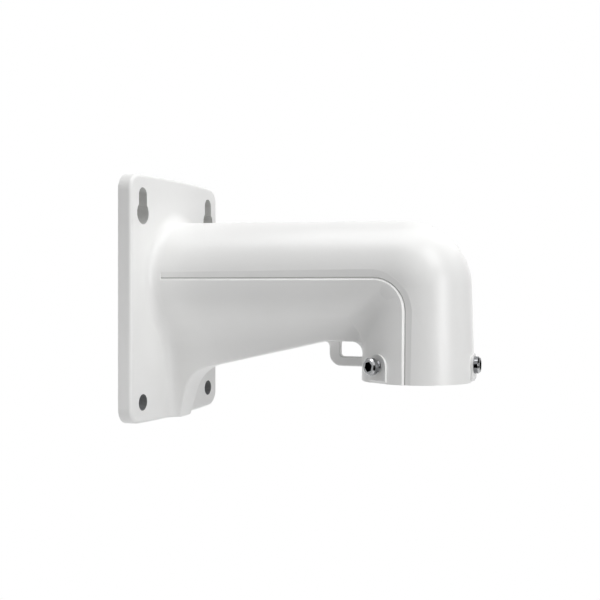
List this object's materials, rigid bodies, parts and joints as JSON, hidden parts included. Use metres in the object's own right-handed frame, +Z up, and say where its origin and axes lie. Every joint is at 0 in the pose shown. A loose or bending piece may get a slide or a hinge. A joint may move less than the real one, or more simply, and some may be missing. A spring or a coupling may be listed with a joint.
{
  "type": "camera wall bracket",
  "caption": "White wall bracket for a hanging dome camera: flat plate, hollow arm with a web below, and a bend down into an open socket with lock screws.",
  "frame": {"origin": "middle of the plate's back face, on the wall", "axes": "+X out from the wall along the arm, +Z up, +Y to the left when looking at the wall"},
  "size_m": [0.2485, 0.14, 0.185],
  "materials": {
    "white_paint": "satin powder paint on die-cast aluminium",
    "screw_steel": "polished stainless steel"
  },
  "bodies": {
    "root": {"bracket_body": "white_paint", "lock_screws": "screw_steel"}
  },
  "joints": []
}
